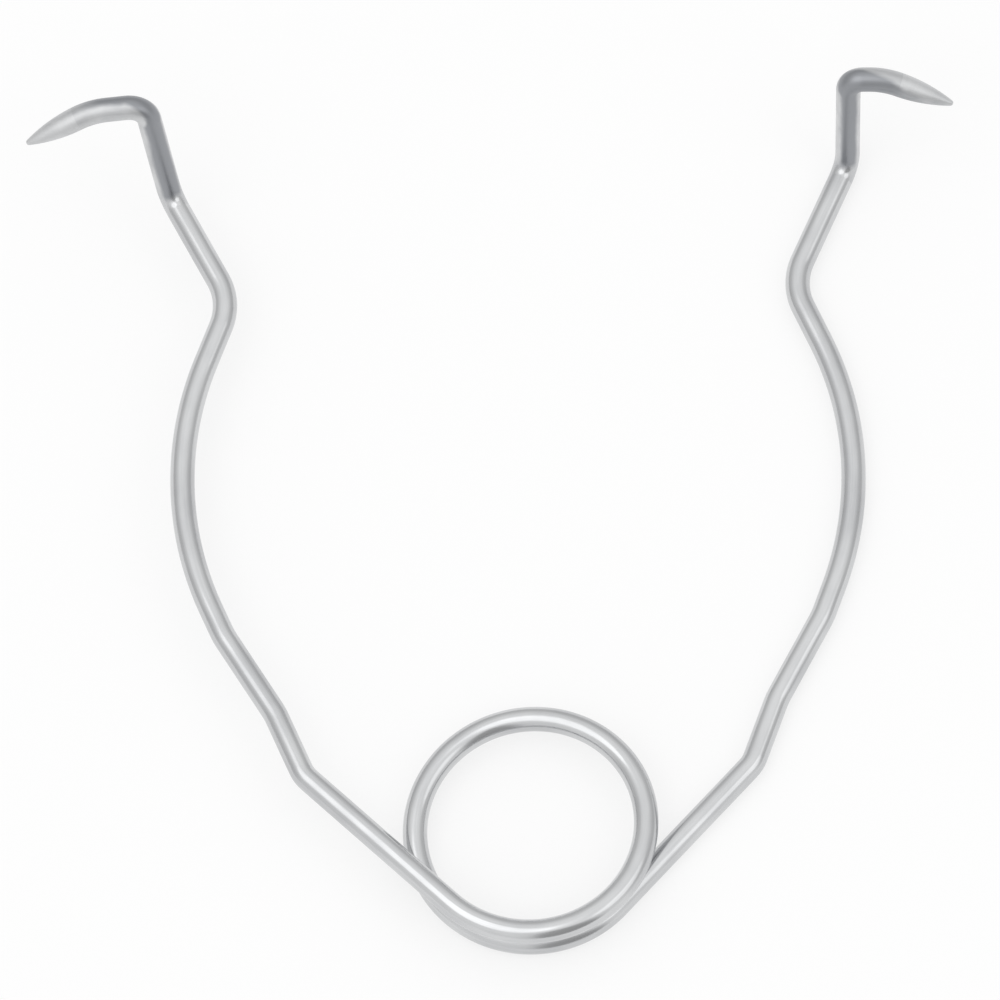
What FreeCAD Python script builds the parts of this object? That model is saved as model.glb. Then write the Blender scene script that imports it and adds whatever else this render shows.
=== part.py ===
import FreeCAD, Part
import math
import os

# Self-retaining retractor bent from one length of spring wire. It lies flat with its hooks turned up:
# X runs from arm to arm, +Y from the coil to the hooks, and Z is the coil's axis, with Z = 0 at the
# underside of the lowest wire. All sizes are millimetres and degrees.

os.makedirs("parts", exist_ok=True)

Vector = FreeCAD.Vector

# Wire and coil
WIRE_D = 2.0            # spring wire
COIL_R = 9.45           # coil axis to the middle of the wire
TURN_RISE = 2.3         # mean rise of one turn, which leaves room between passes when the arms are closed
COIL_ARCS = 15          # tangent arcs in the coil: an odd number, so that the last one ends at the arm
SPLAY_DEG = 45.6        # an arm leaves the coil at this angle from X

# Arm, from the coil outwards. A run is measured from bend vertex to bend vertex, and a positive
# turn swings the wire inwards, towards the other arm.
SHOULDER_RUN = 16.4
SHOULDER_TURN_DEG = 22.9
SHOULDER_R = 3.0
WAIST_RUN = 5.9
WAIST_TURN_DEG = -8.2
WAIST_R = 8.0
FLANK_RUN = 8.05
FLANK_TURN_DEG = 8.2
FLANK_R = 8.0
BOW_RUN = 14.36
BOW_TURN_DEG = 44.5
BOW_R = 28.5
NECK_RUN = 17.22
NECK_TURN_DEG = -48.8
NECK_R = 5.0
LEFT_FLARE_RUN = 10.64
RIGHT_FLARE_RUN = 11.4  # the right heel is bent a little further from the neck

# Hook: a shank that stands up from the arm's end, and a prong that points outwards from its top
LEFT_SHANK_OUT = 1.15   # the shank's lean along X
RIGHT_SHANK_OUT = 0.8
LEFT_SHANK_AHEAD = 3.9  # the shank's lean along Y
RIGHT_SHANK_AHEAD = 3.2
SHANK_RISE = 10.5       # arm's wire to the prong's, along Z
HEEL_R = 2.0            # bend from the arm into the shank
LEFT_CORNER_R = 1.7     # bend from the shank into the prong
RIGHT_CORNER_R = 1.2
PRONG_START_DEG = 3.0   # the prong's droop where it leaves the corner
PRONG_CURL_DEG = 21.5   # how much more it droops at the point
PRONG_R = 6.8
LEFT_PRONG_RUN = 1.6    # straight wire between the corner and the curl: the left prong is the longer
RIGHT_PRONG_RUN = 0.45
CURL_TILT_DEG = 45.0    # the plane of the droop, between level (0) and upright (90)
POINT_OGIVE_R = 14.0    # curve of the ground point
POINT_TIP_R = 0.25      # its blunted end

SMALLEST_RUN = 0.001    # straight wire shorter than this is left out

WRAP_DEG = 360.0 + 2.0 * SPLAY_DEG
ARM_Z = TURN_RISE * WRAP_DEG / 720.0    # each arm's height above or below the coil's middle
WIRE_R = WIRE_D / 2.0


def heading(degrees):
    """Unit vector in the arms' plane at an angle from +X."""
    a = math.radians(degrees)
    return Vector(math.cos(a), math.sin(a), 0.0)


def turn_between(before, after):
    """Angle in radians that the wire turns by between two unit directions."""
    return math.acos(max(-1.0, min(1.0, before.dot(after))))


def bent_path(vertices, radii):
    """Straight runs joined by tangent arcs: one arc of the given radius at each inner vertex."""
    edges = []
    at = vertices[0]
    for i, radius in enumerate(radii, start=1):
        before = (vertices[i] - vertices[i - 1]).normalize()
        after = (vertices[i + 1] - vertices[i]).normalize()
        turn = turn_between(before, after)
        setback = radius * math.tan(turn / 2.0)
        start = vertices[i] - before * setback
        end = vertices[i] + after * setback
        inward = (after - before).normalize()
        middle = vertices[i] + inward * (radius / math.cos(turn / 2.0) - radius)
        if (start - at).Length > SMALLEST_RUN:
            edges.append(Part.LineSegment(at, start).toShape())
        edges.append(Part.Arc(start, middle, end).toShape())
        at = end
    if (vertices[-1] - at).Length > SMALLEST_RUN:
        edges.append(Part.LineSegment(at, vertices[-1]).toShape())
    return edges


def round_bar(edges, start, direction):
    """Solid round bar of the wire's diameter along a smooth chain of edges."""
    section = Part.Face(Part.Wire(Part.Circle(start, direction, WIRE_R).toShape()))
    return Part.Wire(edges).makePipe(section)


def ground_point(base, direction):
    """Pointed end: an ogive that starts at the wire's full diameter and closes in a blunted tip."""
    reach = POINT_OGIVE_R - POINT_TIP_R
    drop = POINT_OGIVE_R - WIRE_R
    centre = math.sqrt(reach ** 2 - drop ** 2)
    touch = Vector(POINT_OGIVE_R * drop / reach - drop, 0.0, POINT_OGIVE_R * centre / reach)
    side = math.asin(centre / reach) / 2.0
    half = (math.pi / 2.0 + 2.0 * side) / 2.0
    on_ogive = Vector(POINT_OGIVE_R * math.cos(side) - drop, 0.0, POINT_OGIVE_R * math.sin(side))
    on_tip = Vector(POINT_TIP_R * math.cos(half), 0.0, centre + POINT_TIP_R * math.sin(half))
    outline = Part.Wire([
        Part.LineSegment(Vector(), Vector(WIRE_R, 0.0, 0.0)).toShape(),
        Part.Arc(Vector(WIRE_R, 0.0, 0.0), on_ogive, touch).toShape(),
        Part.Arc(touch, on_tip, Vector(0.0, 0.0, centre + POINT_TIP_R)).toShape(),
        Part.LineSegment(Vector(0.0, 0.0, centre + POINT_TIP_R), Vector()).toShape(),
    ])
    point = Part.Face(outline).revolve(Vector(), Vector(0.0, 0.0, 1.0), 360.0)
    point.Placement = FreeCAD.Placement(base, FreeCAD.Rotation(Vector(0.0, 0.0, 1.0), direction))
    return point


def coil():
    """Left-hand coil, bent in tangent arcs with no straight wire between them. It leaves both arms level."""
    step = WRAP_DEG / COIL_ARCS
    start = -90.0 - SPLAY_DEG
    corner_r = COIL_R / math.cos(math.radians(step / 2.0))
    up = Vector(0.0, 0.0, ARM_Z)
    vertices = [heading(start) * COIL_R + up]
    for i in range(COIL_ARCS):
        fall = 1.0 - 2.0 * i / (COIL_ARCS - 1)
        vertices.append(heading(start + (i + 0.5) * step) * corner_r + up * fall)
    vertices.append(heading(start + WRAP_DEG) * COIL_R - up)
    radii = []
    setback = (vertices[1] - vertices[0]).Length
    for i in range(1, COIL_ARCS + 1):
        before, after = vertices[i] - vertices[i - 1], vertices[i + 1] - vertices[i]
        radii.append(setback / math.tan(turn_between(before.normalize(), after.normalize()) / 2.0))
        setback = (vertices[i + 1] - vertices[i]).Length - setback
    return round_bar(bent_path(vertices, radii), vertices[0], heading(-SPLAY_DEG))


def arm_vertices(flare_run):
    """Bend vertices of the right arm, from the coil to the heel of its hook."""
    runs = [(SHOULDER_RUN, SHOULDER_TURN_DEG), (WAIST_RUN, WAIST_TURN_DEG), (FLANK_RUN, FLANK_TURN_DEG),
            (BOW_RUN, BOW_TURN_DEG), (NECK_RUN, NECK_TURN_DEG), (flare_run, 0.0)]
    along = SPLAY_DEG
    points = [heading(SPLAY_DEG - 90.0) * COIL_R]
    for run, turn in runs:
        points.append(points[-1] + heading(along) * run)
        along += turn
    return points


def right_handed(flare_run, shank_out, shank_ahead, corner_r, prong_run):
    """Arm and hook as they are on the right side, with the arm in the plane Z = 0."""
    points = arm_vertices(flare_run)
    heel = points[-1]
    arm_way = (heel - points[-2]).normalize()
    corner = heel + Vector(shank_out, shank_ahead, SHANK_RISE)
    shank_way = (corner - heel).normalize()
    tilt = math.radians(CURL_TILT_DEG)
    out = Vector(1.0, 0.0, 0.0)
    droop = Vector(0.0, -math.cos(tilt), -math.sin(tilt))

    def prong_way(degrees):
        a = math.radians(degrees)
        return out * math.cos(a) + droop * math.sin(a)

    first_way = prong_way(PRONG_START_DEG)
    last_way = prong_way(PRONG_START_DEG + PRONG_CURL_DEG)
    corner_setback = corner_r * math.tan(turn_between(shank_way, first_way) / 2.0)
    curl_setback = PRONG_R * math.tan(math.radians(PRONG_CURL_DEG) / 2.0)
    bow = corner + first_way * (corner_setback + prong_run + curl_setback)
    point_base = bow + last_way * curl_setback
    split = heel - arm_way * (HEEL_R * math.tan(turn_between(arm_way, shank_way) / 2.0))

    arm = round_bar(bent_path(points[:-1] + [split], [SHOULDER_R, WAIST_R, FLANK_R, BOW_R, NECK_R]),
                    points[0], heading(SPLAY_DEG))
    bar = round_bar(bent_path([split, heel, corner, bow, point_base], [HEEL_R, corner_r, PRONG_R]),
                    split, arm_way)
    hook = bar.fuse(ground_point(point_base, last_way)).removeSplitter()
    return arm, hook


nodes = {"coil_spring": coil()}
left = right_handed(LEFT_FLARE_RUN, LEFT_SHANK_OUT, LEFT_SHANK_AHEAD, LEFT_CORNER_R, LEFT_PRONG_RUN)
right = right_handed(RIGHT_FLARE_RUN, RIGHT_SHANK_OUT, RIGHT_SHANK_AHEAD, RIGHT_CORNER_R, RIGHT_PRONG_RUN)
for name, shape in zip(("left_arm", "left_hook"), left):
    nodes[name] = shape.mirror(Vector(), Vector(1.0, 0.0, 0.0))
    nodes[name].translate(Vector(0.0, 0.0, ARM_Z))
for name, shape in zip(("right_arm", "right_hook"), right):
    nodes[name] = shape
    nodes[name].translate(Vector(0.0, 0.0, -ARM_Z))

for name, shape in nodes.items():
    shape.translate(Vector(0.0, 0.0, ARM_Z + WIRE_R))
    if shape.ShapeType != "Solid":
        shape = shape.Solids[0]
    shape.exportStep("parts/" + name + ".step")
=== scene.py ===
"""Blender model of a wound retractor that is bent from one length of stainless spring wire.

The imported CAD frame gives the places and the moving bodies. Every length of the wire is swept again here as a
smooth surface along the same runs and bends, and takes the finish of drawn and polished spring wire. Sizes are
millimetres and degrees until a mesh is made, and Blender's own units are metres.
"""

from __future__ import annotations

import logging
import math
from dataclasses import dataclass, replace
from enum import Enum

import bpy
import numpy as np
from mathutils import Matrix, Vector

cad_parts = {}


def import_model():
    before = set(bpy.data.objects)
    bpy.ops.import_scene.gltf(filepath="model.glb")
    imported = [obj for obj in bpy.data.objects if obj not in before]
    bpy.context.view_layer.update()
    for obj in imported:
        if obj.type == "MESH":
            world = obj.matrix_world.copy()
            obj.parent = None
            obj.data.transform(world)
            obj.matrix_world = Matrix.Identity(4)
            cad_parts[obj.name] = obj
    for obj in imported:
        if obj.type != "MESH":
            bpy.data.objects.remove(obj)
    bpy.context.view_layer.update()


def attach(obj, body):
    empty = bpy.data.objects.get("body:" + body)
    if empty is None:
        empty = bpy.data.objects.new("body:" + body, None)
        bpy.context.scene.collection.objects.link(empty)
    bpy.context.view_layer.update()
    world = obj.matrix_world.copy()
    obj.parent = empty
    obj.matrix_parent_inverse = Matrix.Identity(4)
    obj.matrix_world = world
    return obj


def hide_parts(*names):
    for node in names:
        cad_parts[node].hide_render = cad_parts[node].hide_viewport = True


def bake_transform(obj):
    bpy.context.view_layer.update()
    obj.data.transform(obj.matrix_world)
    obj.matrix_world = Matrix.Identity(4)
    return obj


LOG = logging.getLogger("wire_retractor")
MM = 0.001
UP = np.array([0.0, 0.0, 1.0])
MIDDLE = (0.0, 25.0, 0.0)  # about the middle of the retractor
WHITE = "#FFFFFF"
LEAST_RADIUS = 1e-4  # smallest ring at a tip, so that it doesn't close to a point
SAME_PLACE = 1e-6  # places along a line that differ by less than this are one

# Maps on each mesh: place on the straight wire, place on the wrapped surface, and the hooks' painted shade and satin
STOCK_MAP = "stock"
WRAP_MAP = "round_and_along"
SHADE_AND_SATIN_MAP = "painted_shade_and_satin"


class Side(Enum):
    """The two ends of the wire. The value is the sign of X, and the left side is the higher one."""

    LEFT = -1
    RIGHT = 1

    @property
    def word(self) -> str:
        """The side's name as it stands in names of nodes and bodies."""
        return self.name.lower()

    @property
    def body(self) -> str:
        """The CAD body that this side's arm and hook ride on."""
        return f"{self.word}_side"


class Roll(Enum):
    """How the wire's own upright direction is taken along its line."""

    LEVEL = "kept nearest to straight up, for wire that lies level"
    CARRIED = "carried along without twist, for wire that stands up"


def new_object(name: str, data: bpy.types.ID) -> bpy.types.Object:
    """Makes an object from its data and puts it in the scene."""
    thing = bpy.data.objects.new(name, data)
    bpy.context.scene.collection.objects.link(thing)
    return thing


# Geometry of bent wire


@dataclass(frozen=True)
class BentLine:
    """Middle line of a bent wire: straight runs, joined by one tangent arc at each inner corner.

    Attributes:
        corners: Corner points in millimetres, one row each, from the line's start to its end.
        radii: Bend radius at each inner corner.
        roll: How the upright direction is taken along the line.
    """

    corners: np.ndarray
    radii: np.ndarray
    roll: Roll

    def pieces(self) -> tuple[np.ndarray, np.ndarray, np.ndarray, np.ndarray, np.ndarray]:
        """Cuts the line into runs and arcs, run first and then each arc and the run after it.

        An arc that turns by t takes radius times tan(t / 2) from the runs on both sides.

        Returns:
            Length, start point, direction, inward direction and curvature of each piece. A run's
            inward direction and curvature are zero.
        """
        lengths, ways, turns = runs_between(self.corners)
        setbacks = self.radii * np.tan(turns / 2.0)
        before = np.concatenate([[0.0], setbacks])
        after = np.concatenate([setbacks, [0.0]])
        inward = (ways[1:] - ways[:-1] * np.cos(turns)[:, None]) / np.sin(turns)[:, None]
        count = 2 * len(lengths) - 1
        length, curvature = np.zeros(count), np.zeros(count)
        start, way, side = np.zeros((count, 3)), np.zeros((count, 3)), np.zeros((count, 3))
        length[0::2], length[1::2] = np.maximum(lengths - before - after, 0.0), self.radii * turns
        start[0::2] = self.corners[:-1] + ways * before[:, None]
        start[1::2] = self.corners[1:-1] - ways[:-1] * setbacks[:, None]
        way[0::2], way[1::2] = ways, ways[:-1]
        side[1::2], curvature[1::2] = inward, 1.0 / self.radii
        return length, start, way, side, curvature

    def length(self) -> float:
        """Length of the whole line."""
        return float(self.pieces()[0].sum())

    def follow(self, along: np.ndarray) -> tuple[np.ndarray, np.ndarray, np.ndarray]:
        """Points, directions and upright directions at distances along the line.

        On an arc of radius R that starts at P in direction w and bends towards c, the point at angle a is
        P + w R sin a + c R (1 - cos a), and the direction is w cos a + c sin a.

        Args:
            along: Distances from the line's start.

        Returns:
            Points, unit directions and unit upright directions, one row for each distance.
        """
        length, start, way, side, curvature = self.pieces()
        begins = np.concatenate([[0.0], np.cumsum(length)[:-1]])
        index = np.clip(np.searchsorted(begins, along, side="right") - 1, 0, len(length) - 1)
        bend = curvature[index]
        run = along - begins[index]
        angle = (run * bend)[:, None]
        radius = (1.0 / np.where(bend > 0.0, bend, 1.0))[:, None]
        on_arc = (bend > 0.0)[:, None]
        points = start[index] + np.where(
            on_arc,
            way[index] * radius * np.sin(angle) + side[index] * radius * (1.0 - np.cos(angle)),
            way[index] * run[:, None],
        )
        ways = way[index] * np.cos(angle) + side[index] * np.sin(angle)
        if self.roll is Roll.LEVEL:
            upright = UP - ways * (ways @ UP)[:, None]
        else:
            upright = turned(self.carried(way, side, length * curvature)[index], np.cross(way, side)[index], angle)
        return points, ways, upright / np.linalg.norm(upright, axis=1)[:, None]

    @staticmethod
    def carried(way: np.ndarray, side: np.ndarray, angle: np.ndarray) -> np.ndarray:
        """Upright direction at the start of each piece, turned only by the bends before it.

        Args:
            way: Direction of each piece at its start.
            side: Inward direction of each piece.
            angle: Angle that each piece turns by.

        Returns:
            One unit vector for each piece.
        """
        upright = [UP - way[0] * (way[0] @ UP)]
        for i in range(len(way) - 1):
            upright.append(turned(upright[-1][None], np.cross(way[i], side[i])[None], angle[i : i + 1, None])[0])
        return np.array(upright)


def turned(vectors: np.ndarray, axes: np.ndarray, angles: np.ndarray) -> np.ndarray:
    """Vectors turned about unit axes: v cos a + (k x v) sin a + k (k . v)(1 - cos a).

    Args:
        vectors: One vector a row.
        axes: One unit axis a row, or zero where the angle is zero.
        angles: One angle a row, in radians, as a column.

    Returns:
        The turned vectors.
    """
    dots = (vectors * axes).sum(axis=1)[:, None]
    return vectors * np.cos(angles) + np.cross(axes, vectors) * np.sin(angles) + axes * dots * (1.0 - np.cos(angles))


def runs_between(corners: np.ndarray) -> tuple[np.ndarray, np.ndarray, np.ndarray]:
    """Straight runs between corners: each turn is the arc cosine of one direction's dot product with the next.

    Args:
        corners: Corner points, one row each.

    Returns:
        Length and unit direction of each run, and the turn in radians at each inner corner.
    """
    steps = np.diff(corners, axis=0)
    lengths = np.linalg.norm(steps, axis=1)
    ways = steps / lengths[:, None]
    return lengths, ways, np.arccos(np.clip((ways[:-1] * ways[1:]).sum(axis=1), -1.0, 1.0))


@dataclass(frozen=True)
class SpringWire:
    """Round stainless spring wire as it comes from the coil, and how finely it is drawn here.

    Attributes:
        diameter: Wire diameter.
        points_round: Points round the section.
        ring_step: Longest distance between two rings of points.
    """

    diameter: float = 2.0
    points_round: int = 72
    ring_step: float = 0.2

    @property
    def radius(self) -> float:
        """Half the wire's diameter."""
        return self.diameter / 2.0

    def angles(self) -> np.ndarray:
        """Angles of the points round the section, from the wire's upright direction."""
        return np.linspace(0.0, 2.0 * math.pi, self.points_round, endpoint=False)

    def rings(self, start: float, end: float) -> np.ndarray:
        """Distances of evenly spaced rings between two distances, both ends included."""
        return np.linspace(start, end, max(2, math.ceil((end - start) / self.ring_step)) + 1)

    def sweep(
        self,
        name: str,
        line: BentLine,
        along: np.ndarray,
        radii: np.ndarray,
        stock_start: float,
        stock_way: int,
    ) -> bpy.types.Object:
        """Carries a circle along a bent line and closes both ends.

        The surface point at distance s and angle a is the line's point plus r(s) (n cos a + b sin a), where n is
        the upright direction and b is the direction crossed with n. An end is closed by a fan of triangles to
        its middle. Each point also keeps its place on the straight wire before bending, as an attribute.

        Args:
            name: Name of the new object.
            line: Middle line.
            along: Distances of the rings.
            radii: Radius of each ring, where the last may be zero at a tip.
            stock_start: Place of the line's start on the straight wire.
            stock_way: 1 if the line follows the straight wire, or -1 if it runs against it.

        Returns:
            The new object, at the origin and in metres.
        """
        middle, way, upright = line.follow(along)
        across = np.cross(way, upright)
        count = self.points_round
        turn = self.angles()
        ring = upright[:, None, :] * np.cos(turn)[None, :, None] + across[:, None, :] * np.sin(turn)[None, :, None]
        slope = np.arctan(np.gradient(radii, along))[:, None, None]
        outward = ring * np.cos(slope) - way[:, None, :] * np.sin(slope)
        skin = middle[:, None, :] + ring * radii[:, None, None]
        points = np.concatenate([skin.reshape(-1, 3), middle[:1], middle[-1:]])
        stock = np.stack(
            [
                radii[:, None] * np.cos(turn)[None, :],
                stock_way * radii[:, None] * np.sin(turn)[None, :],
                np.repeat((stock_start + stock_way * along)[:, None], count, axis=1),
            ],
            axis=2,
        )
        stock = np.concatenate([stock.reshape(-1, 3), [[0.0, 0.0, stock[0, 0, 2]], [0.0, 0.0, stock[-1, 0, 2]]]])

        row, column = np.meshgrid(np.arange(len(along) - 1), np.arange(count), indexing="ij")
        row, column = row.ravel(), column.ravel()
        here, beside = row * count + column, row * count + (column + 1) % count
        quads = np.stack([here, beside, beside + count, here + count], axis=1)
        step = np.arange(count)
        first, last = len(points) - 2, len(points) - 1
        base = (len(along) - 1) * count
        heads = np.stack([np.full(count, first), (step + 1) % count, step], axis=1)
        tails = np.stack([np.full(count, last), base + step, base + (step + 1) % count], axis=1)

        mesh = bpy.data.meshes.new(name)
        mesh.from_pydata(points * MM, [], [*quads.tolist(), *heads.tolist(), *tails.tolist()])
        mesh.attributes.new(STOCK_MAP, "FLOAT_VECTOR", "POINT").data.foreach_set("vector", (stock * MM).ravel())
        round_u = np.stack([column, column + 1, column + 1, column], axis=1).ravel() / count
        along_v = along[np.stack([row, row, row + 1, row + 1], axis=1)].ravel() * MM
        wrap = np.concatenate([np.stack([round_u, along_v], axis=1), np.zeros((6 * count, 2))])
        mesh.uv_layers.new(name=WRAP_MAP).data.foreach_set("uv", wrap.ravel())
        smooth = outward.reshape(-1, 3)[quads].reshape(-1, 3)
        flat = np.repeat([-way[0], way[-1]], 3 * count, axis=0)
        mesh.shade_smooth()
        mesh.normals_split_custom_set(np.concatenate([smooth, flat]).tolist())
        mesh.validate()
        return new_object(name, mesh)


def smooth_step(share: np.ndarray) -> np.ndarray:
    """Smooth step 3 t^2 - 2 t^3, where t is the share held between 0 and 1."""
    held = np.clip(share, 0.0, 1.0)
    return held**2 * (3.0 - 2.0 * held)


def heading(degrees: float) -> np.ndarray:
    """Unit vector in the arms' plane at an angle from +X."""
    angle = math.radians(degrees)
    return np.array([math.cos(angle), math.sin(angle), 0.0])


# The retractor's own lengths of wire


@dataclass(frozen=True)
class SpringCoil:
    """The coil: one and a quarter turns, left-hand, whose two ends leave level into the arms.

    Attributes:
        stock: The wire.
        mean_radius: Coil axis to the middle of the wire.
        mean_rise: Mean rise of one turn.
        splay_deg: Angle from X at which an arm leaves.
        bends: Tangent arcs that the coil is bent in.
    """

    stock: SpringWire
    mean_radius: float = 9.45
    mean_rise: float = 2.3
    splay_deg: float = 45.6
    bends: int = 15

    @property
    def wrap_deg(self) -> float:
        """Angle that the wire winds through."""
        return 360.0 + 2.0 * self.splay_deg

    @property
    def arm_height(self) -> float:
        """Height of each arm's wire above or below the coil's middle: half of the rise over the whole wrap."""
        return self.mean_rise * self.wrap_deg / 720.0

    @property
    def middle_height(self) -> float:
        """Height of the coil's middle, where the lowest wire's underside is at zero."""
        return self.arm_height + self.stock.radius

    def exit(self, side: Side) -> np.ndarray:
        """Middle of the wire where one arm leaves the coil."""
        place = heading(self.splay_deg - 90.0) * self.mean_radius
        return place * np.array([side.value, 1.0, 0.0]) + UP * (self.middle_height - side.value * self.arm_height)

    def line(self, side: Side) -> BentLine:
        """The whole coil, followed from the other side's arm to this side's.

        The corners lie on a circle of the mean radius divided by the cosine of half a step, and fall evenly. The
        first and last lie level with the arms. Each bend takes what the one before it has left of their run.

        Args:
            side: The side that the line ends at.

        Returns:
            The line, with no straight wire in it.
        """
        step = self.wrap_deg / self.bends
        number = np.arange(self.bends)
        angle = np.radians(-90.0 - self.splay_deg + (number + 0.5) * step)
        corner_radius = self.mean_radius / math.cos(math.radians(step / 2.0))
        corners = np.stack(
            [
                side.value * corner_radius * np.cos(angle),
                corner_radius * np.sin(angle),
                self.middle_height + side.value * self.arm_height * (1.0 - 2.0 * number / (self.bends - 1)),
            ],
            axis=1,
        )
        other = Side(-side.value)
        corners = np.concatenate([[self.exit(other)], corners, [self.exit(side)]])
        lengths, _, turns = runs_between(corners)
        sign = (-1.0) ** number
        setbacks = sign * np.cumsum(sign * lengths[:-1])
        return BentLine(corners, setbacks / np.tan(turns / 2.0), Roll.LEVEL)

    def half_length(self) -> float:
        """Length of wire from the middle of the coil to either arm."""
        return self.line(Side.RIGHT).length() / 2.0

    def build(self, finish: Finish) -> list[bpy.types.Object]:
        """Makes the two halves of the coil, which meet at its top.

        Args:
            finish: What the wire's surface is.

        Returns:
            The two pieces.
        """
        made = []
        for side in Side:
            line = self.line(side)
            half = line.length() / 2.0
            along = self.stock.rings(half, 2.0 * half)
            radii = np.full(len(along), self.stock.radius)
            piece = self.stock.sweep(f"coil_half_{side.word}", line, along, radii, -side.value * half, side.value)
            finish.put_on(piece)
            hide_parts("coil_spring")
            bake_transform(piece)
            made.append(piece)
        return made


@dataclass(frozen=True)
class Bend:
    """One bend of an arm.

    Attributes:
        run: Distance to the bend's corner from the corner before it.
        turn_deg: Angle that the wire turns by, inwards where it is positive.
        radius: Bend radius.
    """

    run: float
    turn_deg: float
    radius: float


@dataclass(frozen=True)
class BowedArm:
    """An arm: the wire from the coil to the heel of the hook, which lies level.

    Attributes:
        side: Left or right.
        coil: The coil that it leaves.
        flare_run: Distance from the neck's corner to the heel's.
        bends: Shoulder, waist, flank, bow and neck, in order from the coil.
    """

    side: Side
    coil: SpringCoil
    flare_run: float
    bends: tuple[Bend, ...] = (
        Bend(16.4, 22.9, 3.0),
        Bend(5.9, -8.2, 8.0),
        Bend(8.05, 8.2, 8.0),
        Bend(14.36, 44.5, 28.5),
        Bend(17.22, -48.8, 5.0),
    )

    def corners(self) -> np.ndarray:
        """Corner points from the coil to the heel: each run is added at the sum of the turns before it."""
        runs = np.array([bend.run for bend in self.bends] + [self.flare_run])
        turns = np.array([0.0] + [bend.turn_deg for bend in self.bends])
        angle = np.radians(self.coil.splay_deg + np.cumsum(turns))
        ways = np.stack([self.side.value * np.cos(angle), np.sin(angle), np.zeros(len(runs))], axis=1)
        steps = runs[:, None] * ways
        return self.coil.exit(self.side) + np.concatenate([np.zeros((1, 3)), np.cumsum(steps, axis=0)])

    def line(self, end_setback: float) -> BentLine:
        """The arm's line, which stops short of the heel's corner by what the heel's bend takes."""
        corners = self.corners()
        way = corners[-1] - corners[-2]
        corners[-1] -= way / np.linalg.norm(way) * end_setback
        return BentLine(corners, np.array([bend.radius for bend in self.bends]), Roll.LEVEL)

    def build(self, end_setback: float, finish: Finish) -> bpy.types.Object:
        """Makes the arm.

        Args:
            end_setback: Distance from the arm's end to the heel's corner.
            finish: What the wire's surface is.

        Returns:
            The piece.
        """
        line = self.line(end_setback)
        stock = self.coil.stock
        along = stock.rings(0.0, line.length())
        begin = self.side.value * self.coil.half_length()
        radii = np.full(len(along), stock.radius)
        piece = stock.sweep(f"{self.side.word}_bowed_arm", line, along, radii, begin, self.side.value)
        finish.put_on(piece)
        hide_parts(f"{self.side.word}_arm")
        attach(piece, self.side.body)
        return piece


@dataclass(frozen=True)
class Film:
    """Painted shade on a hook: a band of darker colour on one side of the wire, in place of the dark reflection on the
    shank and corner.

    It begins within the heel's bend, lies along the shank, goes round the corner and fades along the prong.

    Attributes:
        edges: Rows of a distance from the corner's end, and the angles of both edges there, round the wire from its
            upright direction. The first row holds for the whole shank, and the last for the rest of the prong.
        fade: Length over which it fades out, from the corner's end.
        rise: Length over which it begins, up to the heel's end.
        soft_deg: Width of its soft edges.
    """

    edges: tuple[tuple[float, float, float], ...]
    fade: float
    rise: float = 1.8
    soft_deg: float = 40.0

    def share(self, along: np.ndarray, turn: np.ndarray, heel_end: float, corner_end: float) -> np.ndarray:
        """How much of the painted shade there is, from 0 to 1.

        It is the product of four smooth steps: in from the first edge, in from the second, up over the heel, and
        down along the prong. Each edge's angle is taken in proportion between two rows.

        Args:
            along: Distances of the rings.
            turn: Angles round the wire, from its upright direction.
            heel_end: Distance at which the heel's bend ends.
            corner_end: Distance at which the corner's bend ends.

        Returns:
            One row for each ring and one column for each angle.
        """
        places, firsts, seconds = np.array(self.edges).T
        first = np.interp(along - corner_end, places, firsts)[:, None]
        second = np.interp(along - corner_end, places, seconds)[:, None]
        middle = (first + second) / 2.0
        angle = middle + (np.degrees(turn)[None, :] - middle + 180.0) % 360.0 - 180.0
        from_first = smooth_step((angle - first) / self.soft_deg + 0.5)
        to_second = smooth_step((second - angle) / self.soft_deg + 0.5)
        begun = smooth_step((along - heel_end) / self.rise + 1.0)
        left = 1.0 - smooth_step((along - corner_end) / self.fade)
        return from_first * to_second * (begun * left)[:, None]


# Where the painted shade lies on each hook. The two bands differ, as the dark reflections on the two hooks do.
LEFT_PAINTED_SHADE = Film(edges=((-2.6, -48.0, 52.0), (-1.3, -3.0, 97.0), (0.0, 46.0, 138.0)), fade=7.5)
RIGHT_PAINTED_SHADE = Film(
    edges=(
        (-1.85, -13.0, 67.0),
        (-0.9, -105.0, 72.0),
        (0.4, -72.0, 78.0),
        (3.4, -12.0, 82.0),
        (6.0, -5.0, 85.0),
    ),
    fade=11.0,
)


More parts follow.
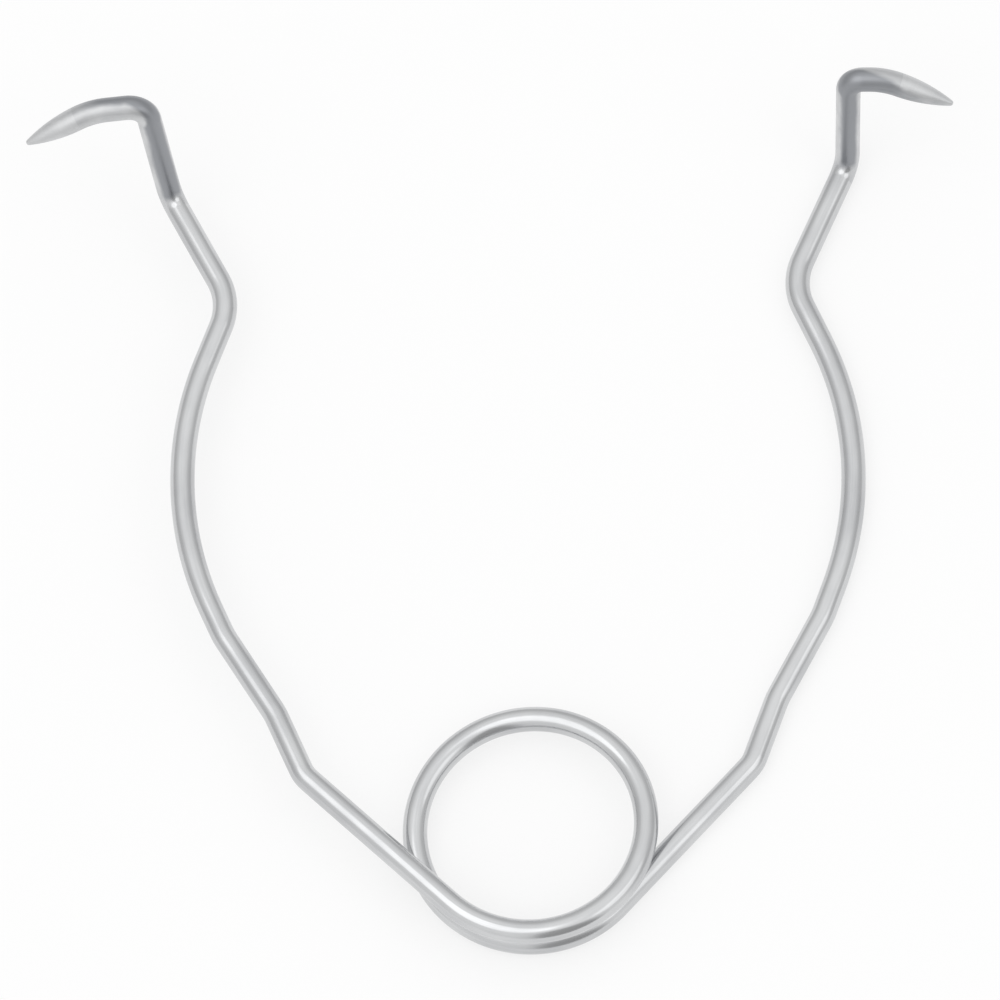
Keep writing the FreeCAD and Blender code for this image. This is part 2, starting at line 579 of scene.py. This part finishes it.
@dataclass(frozen=True)
class ProngedHook:
    """A hook: heel bend, shank, corner bend and outward prong, which is ground to a blunted point.

    Attributes:
        arm: The arm that it stands on.
        shank_step: Corner of the heel to the corner of the prong: outwards, ahead and up.
        corner_radius: Bend radius from the shank into the prong.
        prong_run: Straight wire between the corner and the prong's curl.
        film: The painted shade, a darker band in place of the hook's dark reflection.
        heel_radius: Bend radius from the arm into the shank.
        prong_start_deg: Droop of the prong where it leaves the corner.
        prong_curl_deg: How much more it droops at the point.
        prong_radius: Bend radius of the curl.
        curl_tilt_deg: Plane of the droop, between level (0) and upright (90).
        ogive_radius: Curve of the ground point.
        tip_radius: Its blunted end.
        ogive_rings: Rings of points on the ground curve.
        tip_rings: Rings of points on the blunted end.
        heel_satin: Satin where the heel's bend ends, as a share of the prong's.
    """

    arm: BowedArm
    shank_step: tuple[float, float, float]
    corner_radius: float
    prong_run: float
    film: Film
    heel_radius: float = 2.0
    prong_start_deg: float = 3.0
    prong_curl_deg: float = 21.5
    prong_radius: float = 6.8
    curl_tilt_deg: float = 45.0
    ogive_radius: float = 14.0
    tip_radius: float = 0.25
    ogive_rings: int = 26
    tip_rings: int = 12
    heel_satin: float = 0.4

    def shank(self) -> np.ndarray:
        """Step from the heel's corner to the prong's, on this hook's side."""
        return np.array(self.shank_step) * np.array([self.arm.side.value, 1.0, 1.0])

    def heel_setback(self) -> float:
        """Length that the heel's bend takes from the arm's run: radius times tan of half the turn."""
        corners = self.arm.corners()
        before, after = corners[-1] - corners[-2], self.shank()
        cosine = before @ after / np.linalg.norm(before) / np.linalg.norm(after)
        return self.heel_radius * math.tan(math.acos(cosine) / 2.0)

    def prong_way(self, droop_deg: float) -> np.ndarray:
        """Direction of the prong at an angle of droop from straight outwards."""
        droop, tilt = math.radians(droop_deg), math.radians(self.curl_tilt_deg)
        down = np.array([0.0, -math.cos(tilt), -math.sin(tilt)])
        return np.array([self.arm.side.value, 0.0, 0.0]) * math.cos(droop) + down * math.sin(droop)

    def point_middle(self) -> float:
        """Distance from the point's base to the middle of its blunted end."""
        reach = self.ogive_radius - self.tip_radius
        drop = self.ogive_radius - self.arm.coil.stock.radius
        return math.sqrt(reach**2 - drop**2)

    def point_base(self, line: BentLine) -> float:
        """Distance along the hook's line at which its ground point begins."""
        return line.length() - self.point_middle() - self.tip_radius

    def line(self) -> BentLine:
        """The hook's line, from the arm's end to the very tip."""
        arm_corners = self.arm.corners()
        heel = arm_corners[-1]
        arm_way = (heel - arm_corners[-2]) / np.linalg.norm(heel - arm_corners[-2])
        corner = heel + self.shank()
        shank_way = (corner - heel) / np.linalg.norm(corner - heel)
        first = self.prong_way(self.prong_start_deg)
        last = self.prong_way(self.prong_start_deg + self.prong_curl_deg)
        corner_setback = self.corner_radius * math.tan(math.acos(shank_way @ first) / 2.0)
        curl_setback = self.prong_radius * math.tan(math.radians(self.prong_curl_deg) / 2.0)
        bow = corner + first * (corner_setback + self.prong_run + curl_setback)
        tip = bow + last * (curl_setback + self.point_middle() + self.tip_radius)
        start = heel - arm_way * self.heel_setback()
        corners = np.stack([start, heel, corner, bow, tip])
        return BentLine(corners, np.array([self.heel_radius, self.corner_radius, self.prong_radius]), Roll.CARRIED)

    def rings(self, line: BentLine) -> tuple[np.ndarray, np.ndarray]:
        """Distances and radii of the rings.

        The bar keeps the wire's radius. On the point the radius at height h is sqrt(R^2 - h^2) less what R has
        over the wire's radius, until it meets the end's sphere, where it is sqrt(r^2 - (h - middle)^2).

        Args:
            line: The hook's line.

        Returns:
            Distances along the line, and radii.
        """
        stock = self.arm.coil.stock
        middle, base = self.point_middle(), self.point_base(line)
        meet = math.asin(middle / (self.ogive_radius - self.tip_radius))
        flank = np.linspace(0.0, meet, self.ogive_rings + 1)[1:]
        cap = np.linspace(meet, math.pi / 2.0, self.tip_rings + 1)[1:]
        bar = stock.rings(0.0, base)
        on_ogive = base + self.ogive_radius * np.sin(flank)
        on_tip = base + middle + self.tip_radius * np.sin(cap)
        ogive = self.ogive_radius * np.cos(flank) - self.ogive_radius + stock.radius
        tip = np.maximum(self.tip_radius * np.cos(cap), LEAST_RADIUS)
        along = np.concatenate([bar, on_ogive, on_tip])
        return along, np.concatenate([np.full(len(bar), stock.radius), ogive, tip])

    def shade_and_satin(self, along: np.ndarray, turn: np.ndarray) -> np.ndarray:
        """Marks on the hook's surface: the painted shade, a darker band in place of its dark reflection, and the satin
        of a stone.

        The satin rises by one smooth step over the heel, and by another over the corner, where it is whole.

        Args:
            along: Distances of the rings.
            turn: Angles round the wire, from its upright direction.

        Returns:
            Painted shade, satin and a zero for each point of each ring.
        """
        length = self.line().pieces()[0]
        heel_end, corner_start, corner_end = length[:2].sum(), length[:3].sum(), length[:4].sum()
        film = self.film.share(along, turn, heel_end, corner_end)
        over_corner = (along - corner_start) / (corner_end - corner_start)
        satin = self.heel_satin * smooth_step(along / heel_end) + (1.0 - self.heel_satin) * smooth_step(over_corner)
        return np.stack([film, satin[:, None] * np.ones_like(film), np.zeros_like(film)], axis=2)

    def build(self, bar_finish: Finish, point_finish: Finish) -> bpy.types.Object:
        """Makes the hook.

        Args:
            bar_finish: Surface of the bent wire.
            point_finish: Surface of the ground point.

        Returns:
            The piece.
        """
        side = self.arm.side
        stock = self.arm.coil.stock
        line = self.line()
        along, radii = self.rings(line)
        begin = side.value * (self.arm.coil.half_length() + self.arm.line(self.heel_setback()).length())
        piece = stock.sweep(f"{side.word}_pronged_hook", line, along, radii, begin, side.value)
        shade_and_satin = self.shade_and_satin(along, stock.angles())
        shade_and_satin = np.concatenate([shade_and_satin.reshape(-1, 3), shade_and_satin[0, :1], shade_and_satin[-1, :1]])
        piece.data.attributes.new(SHADE_AND_SATIN_MAP, "FLOAT_VECTOR", "POINT").data.foreach_set("vector", shade_and_satin.ravel())
        bar_finish.put_on(piece)
        piece.data.materials.append(point_finish.material())
        rows = np.repeat(along[:-1] >= self.point_base(line) - SAME_PLACE, stock.points_round)
        which = np.concatenate([rows, np.zeros(stock.points_round, bool), np.ones(stock.points_round, bool)])
        piece.data.polygons.foreach_set("material_index", which.astype(np.int32))
        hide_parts(f"{side.word}_hook")
        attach(piece, side.body)
        return piece


# Finishes


def linear(colour: str) -> tuple[float, float, float, float]:
    """An sRGB hex colour as linear red, green, blue and an alpha of one."""
    parts = [int(colour[i : i + 2], 16) / 255.0 for i in (1, 3, 5)]
    red, green, blue = (c / 12.92 if c <= 0.04045 else ((c + 0.055) / 1.055) ** 2.4 for c in parts)
    return red, green, blue, 1.0


def add_node(
    tree: bpy.types.NodeTree,
    kind: str,
    inputs: dict[str | int, object] | None = None,
    **settings: object,
) -> bpy.types.Node:
    """Adds one node with its settings, values and links.

    Args:
        tree: Node tree that it goes in.
        kind: Node type, such as ShaderNodeBump.
        inputs: Value of each input, or the output socket that is linked to it.
        settings: Properties of the node itself.

    Returns:
        The new node.
    """
    node = tree.nodes.new(kind)
    for name, value in settings.items():
        setattr(node, name, value)
    for name, value in (inputs or {}).items():
        if isinstance(value, bpy.types.NodeSocket):
            tree.links.new(value, node.inputs[name])
        else:
            node.inputs[name].default_value = value
    return node


def empty_tree(holder: bpy.types.Material | bpy.types.World) -> bpy.types.NodeTree:
    """Node tree of a new material or world, with nothing in it."""
    holder.use_nodes = True
    holder.node_tree.nodes.clear()
    return holder.node_tree


def computed(tree: bpy.types.NodeTree, operation: str, *values: object, clamped: bool = False) -> bpy.types.NodeSocket:
    """Result of one sum on numbers or sockets, held between 0 and 1 where it is clamped."""
    inputs = dict(enumerate(values))
    return add_node(tree, "ShaderNodeMath", inputs, operation=operation, use_clamp=clamped).outputs["Value"]


def ranged(
    tree: bpy.types.NodeTree,
    value: bpy.types.NodeSocket,
    source: tuple[float, float] = (0.0, 1.0),
    target: tuple[object, object] = (0.0, 1.0),
    curve: str = "LINEAR",
) -> bpy.types.NodeSocket:
    """Carries a value from one range to another, and holds it at both ends.

    Args:
        tree: Node tree.
        value: The value.
        source: Ends of the range that it is in.
        target: Ends of the range that it goes to, as numbers or sockets.
        curve: Shape between the ends.

    Returns:
        The result.
    """
    inputs = {"Value": value, "From Min": source[0], "From Max": source[1]}
    inputs |= {"To Min": target[0], "To Max": target[1]}
    return add_node(tree, "ShaderNodeMapRange", inputs, interpolation_type=curve).outputs["Result"]


class Mix(Enum):
    """What a mix node mixes: its data type, and the places of its two inputs and of its output."""

    NUMBERS = ("FLOAT", 2, 3, 0)
    COLOURS = ("RGBA", 6, 7, 2)

    def add(self, tree: bpy.types.NodeTree, share: object, first: object, second: object) -> bpy.types.NodeSocket:
        """The first input where the share is 0, and the second where it is 1."""
        data_type, first_place, second_place, result = self.value
        inputs = {"Factor": share, first_place: first, second_place: second}
        return add_node(tree, "ShaderNodeMix", inputs, data_type=data_type).outputs[result]


def noise(
    tree: bpy.types.NodeTree,
    place: bpy.types.NodeSocket,
    scale: tuple[float, float, float],
    detail: float,
    roughness: float,
) -> bpy.types.NodeSocket:
    """Noise that is squeezed or drawn out along each axis.

    Args:
        tree: Node tree.
        place: Place that it is read at.
        scale: Marks in a metre along each axis.
        detail: Number of finer layers.
        roughness: Share that each finer layer keeps.

    Returns:
        The noise, around 0.5.
    """
    place = add_node(tree, "ShaderNodeMapping", {"Vector": place, "Scale": scale}).outputs["Vector"]
    inputs = {"Vector": place, "Scale": 1.0, "Detail": detail, "Roughness": roughness}
    return add_node(tree, "ShaderNodeTexNoise", inputs).outputs["Fac"]


NOISE_SPAN = (0.3, 0.7)  # nearly all values of a noise pattern
HAZE_SPAN = (0.35, 0.72)  # the slow pattern's values where haze begins and where it is full
LINE_TONE = 0.12  # how far a tool's line shifts the polish either way, as a share of full haze
PATCH_SQUEEZE = 2.5  # how many times longer a hazy patch is than it is wide
PAINTED_SHADE_STRENGTH = 1.4  # painted shade at a share of one, before the slow patches thin it
PAINTED_SHADE_BREAKUP = 0.4  # the most painted shade that the slow patches take away
WAVER_LENGTH = 2.6  # length of one waver


@dataclass(frozen=True)
class Finish:
    """A metal surface whose marks follow the wire.

    Every pattern is read from the wire's place before it was bent, so lines left by the drawing die run along
    it through each bend. Two slow patterns vary the polish and the tone, as handling and hand polishing do.

    Attributes:
        name: Name of the finish.
        slot: Material slot in the part's record. Not used here.
        bright: Colour of the metal where the polish is best.
        dull: Colour where it is worn or hazy.
        smooth: Roughness where the polish is best.
        hazy: Roughness where it is worn.
        line_width: Width of one line left by the tool, in millimetres, as coarse as it needs to show.
        line_length: Length of one line.
        line_depth: Depth of the lines, in millimetres.
        lines_run_round: True for lines round the wire, as on a ground point, and False for lines along it.
        patch: Length of one hazy patch along the wire, in millimetres.
        waver_depth: Depth of the slow waver that bending by hand leaves, in millimetres.
        film: Darker colour painted on the hook as shade, in place of its dark reflection, or nothing on wire without
            it.
        painted_shade_roughness: Roughness where the painted shade is.
        satin_roughness: Roughness where it was stoned after bending.
    """

    name: str
    slot: str
    bright: str
    dull: str
    smooth: float
    hazy: float
    line_width: float
    line_length: float
    line_depth: float
    lines_run_round: bool
    patch: float
    waver_depth: float
    film: str | None = None
    painted_shade_roughness: float = 0.3
    satin_roughness: float = 0.5

    def material(self) -> bpy.types.Material:
        """The material, made once and then shared by every piece with this finish."""
        found = bpy.data.materials.get(self.name)
        if found:
            return found
        material = bpy.data.materials.new(self.name)
        tree = empty_tree(material)
        stock = add_node(tree, "ShaderNodeAttribute", attribute_name=STOCK_MAP).outputs["Vector"]

        # Lines of the die or the wheel: noise that is squeezed across the lines and drawn out along them
        width, length = 1.0 / (self.line_width * MM), 1.0 / (self.line_length * MM)
        scale = (length, length, width) if self.lines_run_round else (width, width, length)
        lines = noise(tree, stock, scale, detail=2.0, roughness=0.55)

        # Hazy patches, longer along the wire than round it
        slow = 1.0 / (self.patch * MM)
        scale = (slow * PATCH_SQUEEZE, slow * PATCH_SQUEEZE, slow)
        patches = noise(tree, stock, scale, detail=3.0, roughness=0.6)
        haze = ranged(tree, patches, HAZE_SPAN)
        fine = ranged(tree, lines, NOISE_SPAN, (-LINE_TONE, LINE_TONE))
        worn = computed(tree, "ADD", haze, fine, clamped=True)
        colour = Mix.COLOURS.add(tree, worn, linear(self.bright), linear(self.dull))
        rough = ranged(tree, worn, target=(self.smooth, self.hazy))

        # Painted shade: the hook's band is mixed towards a darker colour, thinned in places by the slow patches, in
        # place of its dark reflection
        if self.film:
            shade_and_satin = add_node(tree, "ShaderNodeAttribute", attribute_name=SHADE_AND_SATIN_MAP).outputs["Vector"]
            shade_and_satin = add_node(tree, "ShaderNodeSeparateXYZ", {"Vector": shade_and_satin}).outputs
            shade_breakup = ranged(tree, patches, NOISE_SPAN, (-PAINTED_SHADE_BREAKUP, 0.0))
            film = computed(tree, "MULTIPLY_ADD", shade_and_satin["X"], PAINTED_SHADE_STRENGTH, shade_breakup, clamped=True)
            colour = Mix.COLOURS.add(tree, film, colour, linear(self.film))
            rough = Mix.NUMBERS.add(tree, shade_and_satin["Y"], rough, self.satin_roughness)
            rough = Mix.NUMBERS.add(tree, film, rough, self.painted_shade_roughness)

        # Waver of the bent wire first, and the fine lines on top of it
        inputs = {"Vector": stock, "Scale": 1.0 / (WAVER_LENGTH * MM), "Detail": 0.0}
        waver = add_node(tree, "ShaderNodeTexNoise", inputs).outputs["Fac"]
        inputs = {"Height": waver, "Distance": self.waver_depth * MM}
        normal = add_node(tree, "ShaderNodeBump", inputs).outputs["Normal"]
        inputs = {"Height": lines, "Distance": self.line_depth * MM, "Normal": normal}
        normal = add_node(tree, "ShaderNodeBump", inputs).outputs["Normal"]
        inputs = {"Base Color": colour, "Metallic": 1.0, "Roughness": rough, "Normal": normal}
        shader = add_node(tree, "ShaderNodeBsdfPrincipled", inputs)
        add_node(tree, "ShaderNodeOutputMaterial", {"Surface": shader.outputs["BSDF"]})
        return material

    def put_on(self, piece: bpy.types.Object) -> None:
        """Gives a piece this finish."""
        piece.data.materials.append(self.material())


# Stainless spring wire, drawn through a die and then polished. The die leaves fine lines along the wire and the
# polish leaves a soft shine with a few hazy stretches. Real lines are about 0.02 mm wide, too fine for the
# picture, so they are drawn 0.12 mm wide.
DRAWN_WIRE = Finish(
    name="drawn and polished stainless spring wire",
    slot="spring_wire",
    bright="#D1D2D3",
    dull="#BFC0C2",
    smooth=0.14,
    hazy=0.28,
    line_width=0.12,
    line_length=6.0,
    line_depth=0.0012,
    lines_run_round=False,
    patch=9.0,
    waver_depth=0.02,
)

# The same wire where it is bent into the hook. A band of darker blue-grey is painted on as shade, in place of the dark
# reflection on the shank and corner. The prong is stoned to a satin.
HOOK_WIRE = replace(
    DRAWN_WIRE,
    name="bent stainless hook wire with painted shade",
    slot="hook_wire",
    line_length=4.0,
    line_depth=0.0015,
    patch=3.0,
    film="#999B9F",
    painted_shade_roughness=0.36,
    satin_roughness=0.50,
)

# The point is turned against a fine wheel, which leaves lines round it that the last polish has softened.
GROUND_POINT = Finish(
    name="ground stainless point",
    slot="hook_wire",
    bright="#D8D9DA",
    dull="#CBCCCD",
    smooth=0.44,
    hazy=0.54,
    line_width=0.10,
    line_length=1.6,
    line_depth=0.0015,
    lines_run_round=True,
    patch=3.0,
    waver_depth=0.0,
    # Painted shade: the hook's darker band fades out over the point in the same colour
    film="#999B9F",
    painted_shade_roughness=0.42,
    satin_roughness=0.50,
)


# The stage


@dataclass(frozen=True)
class Table:
    """The pale light table that the retractor lies on. It is level with the lowest wire, at rest and when squeezed.

    Attributes:
        width: Side of the table.
        colour: Colour of the table.
        glow: How much of what is seen of the table, or of its reflection, is its own even white.
    """

    width: float = 16000.0
    colour: str = "#FAFAFA"
    glow: float = 0.7

    def build(self) -> None:
        """Makes the table as one flat square."""
        points = self.width / 2.0 * np.array([[-1.0, -1.0, 0.0], [1.0, -1.0, 0.0], [1.0, 1.0, 0.0], [-1.0, 1.0, 0.0]])
        mesh = bpy.data.meshes.new("table")
        mesh.from_pydata(points * MM, [], [(0, 1, 2, 3)])
        table = new_object("table", mesh)
        material = bpy.data.materials.new("matt white light table")
        tree = empty_tree(material)
        matt = add_node(tree, "ShaderNodeBsdfDiffuse", {"Color": linear(self.colour)}).outputs["BSDF"]
        white = add_node(tree, "ShaderNodeEmission", {"Color": linear(WHITE), "Strength": 1.0}).outputs["Emission"]
        ray = add_node(tree, "ShaderNodeLightPath").outputs
        seen = computed(tree, "ADD", ray["Is Camera Ray"], ray["Is Glossy Ray"])
        seen = computed(tree, "ADD", seen, ray["Is Transmission Ray"], clamped=True)
        share = computed(tree, "MULTIPLY", seen, self.glow)
        surface = add_node(tree, "ShaderNodeMixShader", {0: share, 1: matt, 2: white}).outputs["Shader"]
        add_node(tree, "ShaderNodeOutputMaterial", {"Surface": surface})
        mesh.materials.append(material)


def sight(azimuth_deg: float, elevation_deg: float, ahead: int) -> Vector:
    """Unit direction at an azimuth a and an elevation e: (sin a cos e, y cos a cos e, sin e).

    Args:
        azimuth_deg: Angle from the Y axis towards +X.
        elevation_deg: Angle above level.
        ahead: The sign y: 1 for an azimuth from +Y, or -1 for one from -Y.

    Returns:
        The direction.
    """
    azimuth, elevation = math.radians(azimuth_deg), math.radians(elevation_deg)
    level = math.cos(elevation)
    return Vector((math.sin(azimuth) * level, ahead * math.cos(azimuth) * level, math.sin(elevation)))


@dataclass(frozen=True)
class Lamp:
    """A round soft lamp that faces the retractor.

    Attributes:
        name: Name of the lamp.
        azimuth_deg: Direction that it stands in, turned from +Y towards +X.
        elevation_deg: Height of that direction above level.
        width_deg: Its width as the retractor sees it.
        brightness: Brightness that its face adds to the tent behind it, where 1 is white.
        distance: Distance to the retractor.
    """

    name: str
    azimuth_deg: float
    elevation_deg: float
    width_deg: float
    brightness: float
    distance: float = 1300.0

    def build(self) -> None:
        """Makes the lamp. A disk of area A and brightness L gives pi A L."""
        way = sight(self.azimuth_deg, self.elevation_deg, 1)
        radius = self.distance * math.tan(math.radians(self.width_deg / 2.0)) * MM
        data = bpy.data.lights.new(self.name, "AREA")
        data.shape = "DISK"
        data.size = 2.0 * radius
        data.energy = math.pi * (math.pi * radius**2) * self.brightness
        lamp = new_object(self.name, data)
        lamp.location = (Vector(MIDDLE) + way * self.distance) * MM
        lamp.rotation_euler = way.to_track_quat("Z", "Y").to_euler()
        lamp.visible_camera = False


@dataclass(frozen=True)
class Studio:
    """Soft light in a white tent: a broad lamp above, a weaker one to the right, and the tent's dark slit in front.

    Attributes:
        lamps: The lamps.
        ceiling: Brightness straight overhead, where 1 is white.
        far_wall: Brightness at eye level on the hooks' side.
        near_wall: Brightness at eye level on the coil's side.
        wall_span: Y of the directions at which the near wall ends and the far wall begins.
        ceiling_span: Z of the directions at which the walls end and the ceiling is reached.
        slit_way: Direction of the slit.
        slit_share: What is left of the brightness in the slit.
        slit_height: The slit's height, as a multiple of its width.
        slit_span: Cosine of the angle from the slit's middle at the outer and inner ends of its soft edge.
    """

    lamps: tuple[Lamp, ...] = (
        Lamp("overhead lamp", azimuth_deg=238.0, elevation_deg=70.0, width_deg=50.0, brightness=0.55),
        Lamp("right lamp", azimuth_deg=110.0, elevation_deg=42.0, width_deg=36.0, brightness=0.4),
    )
    ceiling: float = 1.06
    far_wall: float = 0.66
    near_wall: float = 0.92
    wall_span: tuple[float, float] = (-0.6, 0.0)
    ceiling_span: tuple[float, float] = (0.3, 1.0)
    slit_way: tuple[float, float, float] = (0.375, -0.927, 0.0)
    slit_share: float = 0.45
    slit_height: float = 3.9
    slit_span: tuple[float, float] = (0.90, 0.96)

    def build(self) -> None:
        """Makes the lamps and the world."""
        for lamp in self.lamps:
            lamp.build()
        world = bpy.data.worlds.new("white tent")
        tree = empty_tree(world)
        way = add_node(tree, "ShaderNodeTexCoord").outputs["Generated"]
        parts = add_node(tree, "ShaderNodeSeparateXYZ", {"Vector": way}).outputs
        wall = ranged(tree, parts["Y"], self.wall_span, (self.near_wall, self.far_wall), "SMOOTHSTEP")
        room = ranged(tree, parts["Z"], self.ceiling_span, (wall, self.ceiling), "SMOOTHSTEP")

        # The direction is squeezed in height, so that a round spot on it is a tall slit in the tent
        inputs = {0: way, 1: (1.0, 1.0, 1.0 / self.slit_height)}
        squat = add_node(tree, "ShaderNodeVectorMath", inputs, operation="MULTIPLY").outputs["Vector"]
        squat = add_node(tree, "ShaderNodeVectorMath", {0: squat}, operation="NORMALIZE").outputs["Vector"]
        inputs = {0: squat, 1: self.slit_way}
        front = add_node(tree, "ShaderNodeVectorMath", inputs, operation="DOT_PRODUCT").outputs["Value"]
        slit = ranged(tree, front, self.slit_span, (1.0, self.slit_share), "SMOOTHSTEP")

        strength = computed(tree, "MULTIPLY", room, slit)
        light = add_node(tree, "ShaderNodeBackground", {"Color": linear(WHITE), "Strength": strength})
        add_node(tree, "ShaderNodeOutputWorld", {"Surface": light.outputs["Background"]})
        bpy.context.scene.world = world


@dataclass(frozen=True)
class PhotoCamera:
    """The camera at the photograph's viewing angle. The wire's width is even over the picture, so it stands far off.

    Attributes:
        aim: Point at the middle of the picture.
        azimuth_deg: Direction that it looks from, turned from -Y towards +X.
        elevation_deg: Height of that direction above level.
        roll_deg: Turn about the line of sight.
        distance: Distance to the point.
        focal: Focal length.
        sensor: Width of the sensor.
        reach: Farthest distance that it sees.
    """

    aim: tuple[float, float, float] = (-1.412, 27.862, 4.611)
    azimuth_deg: float = 7.882
    elevation_deg: float = 68.425
    roll_deg: float = -10.522
    distance: float = 2300.0
    focal: float = 1015.8
    sensor: float = 36.0
    reach: float = 100000.0

    def build(self) -> None:
        """Makes the camera and sets it as the scene's."""
        back = sight(self.azimuth_deg, self.elevation_deg, -1)
        level = (-back).to_track_quat("-Z", "Y").to_matrix()
        data = bpy.data.cameras.new("photo camera")
        data.lens, data.sensor_width = self.focal, self.sensor
        data.clip_end = self.reach * MM
        camera = new_object("photo camera", data)
        turn = level @ Matrix.Rotation(math.radians(self.roll_deg), 3, "Z")
        camera.matrix_world = Matrix.Translation((Vector(self.aim) + back * self.distance) * MM) @ turn.to_4x4()
        bpy.context.scene.camera = camera


def main() -> None:
    """Builds the stage and the retractor."""
    logging.basicConfig(level=logging.INFO, format="%(name)s: %(message)s")
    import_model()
    bpy.context.scene.view_settings.view_transform = "Standard"
    PhotoCamera().build()
    Studio().build()
    Table().build()

    coil = SpringCoil(SpringWire())
    left_hook = ProngedHook(
        arm=BowedArm(Side.LEFT, coil, flare_run=10.64),
        shank_step=(1.15, 3.9, 10.5),
        corner_radius=1.7,
        prong_run=1.6,
        film=LEFT_PAINTED_SHADE,
    )
    right_hook = ProngedHook(
        arm=BowedArm(Side.RIGHT, coil, flare_run=11.4),
        shank_step=(0.8, 3.2, 10.5),
        corner_radius=1.2,
        prong_run=0.45,
        film=RIGHT_PAINTED_SHADE,
    )
    made = coil.build(DRAWN_WIRE)
    for hook in (left_hook, right_hook):
        made.append(hook.arm.build(hook.heel_setback(), DRAWN_WIRE))
        made.append(hook.build(HOOK_WIRE, GROUND_POINT))
    for piece in made:
        LOG.info("%s: %d faces", piece.name, len(piece.data.polygons))

    bpy.context.view_layer.update()


if __name__ == "__main__":
    main()
